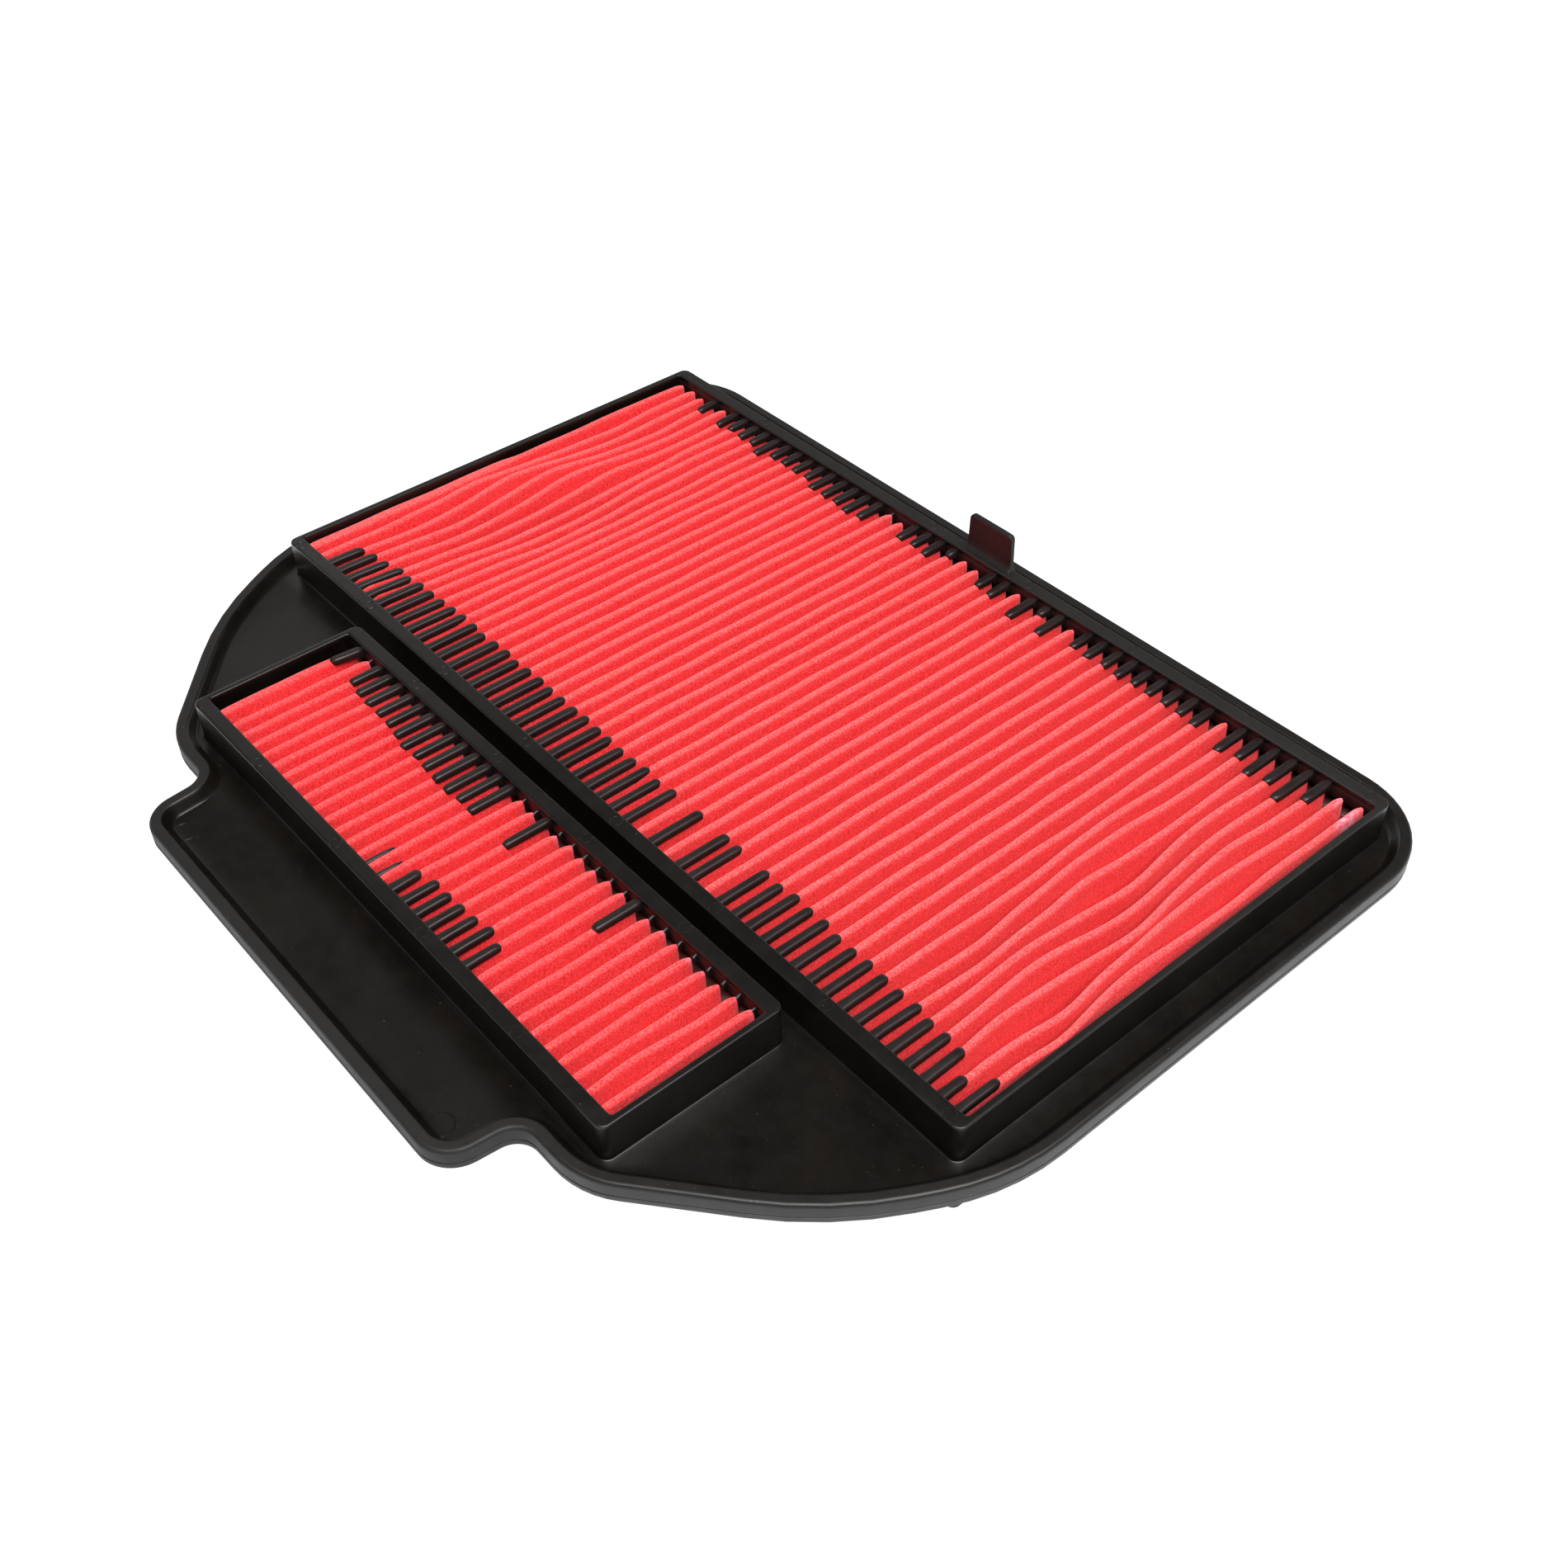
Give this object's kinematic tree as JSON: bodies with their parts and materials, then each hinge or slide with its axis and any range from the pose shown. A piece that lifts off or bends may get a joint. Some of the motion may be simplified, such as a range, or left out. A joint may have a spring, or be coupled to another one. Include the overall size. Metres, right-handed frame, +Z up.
{
  "type": "motorcycle air filter",
  "caption": "Tray-flanged panel filter: a moulded frame with a lug carries two pleated red panels in raised wells, held by comb strips and lower grids.",
  "frame": {"origin": "middle of the underside of the bounding box, which is the underside of the two lower grids", "axes": "+X along the stack of pleats (the longest side), +Y along each pleat from the tongue to the lug, +Z up out of the wells"},
  "size_m": [0.2514, 0.203, 0.0337],
  "materials": {
    "frame_plastic": "satin",
    "comb_plastic": "satin",
    "grid_plastic": "satin",
    "filter_media": "fuzzy nonwoven",
    "gasket_rubber": "matte",
    "bonding_strip": "matte"
  },
  "bodies": {
    "root": {"upper_frame": "frame_plastic", "flange_gasket": "gasket_rubber", "media_large": "filter_media", "media_small": "filter_media", "lower_grid_large": "grid_plastic", "lower_grid_small": "grid_plastic", "comb_large_near": "comb_plastic", "comb_large_far": "comb_plastic", "comb_small_near": "comb_plastic", "comb_small_far": "comb_plastic", "side_band_large_near": "bonding_strip", "side_band_large_far": "bonding_strip", "side_band_small_near": "bonding_strip", "side_band_small_far": "bonding_strip", "end_band_large_left": "bonding_strip", "end_band_large_right": "bonding_strip", "end_band_small_left": "bonding_strip", "end_band_small_right": "bonding_strip"}
  },
  "joints": []
}
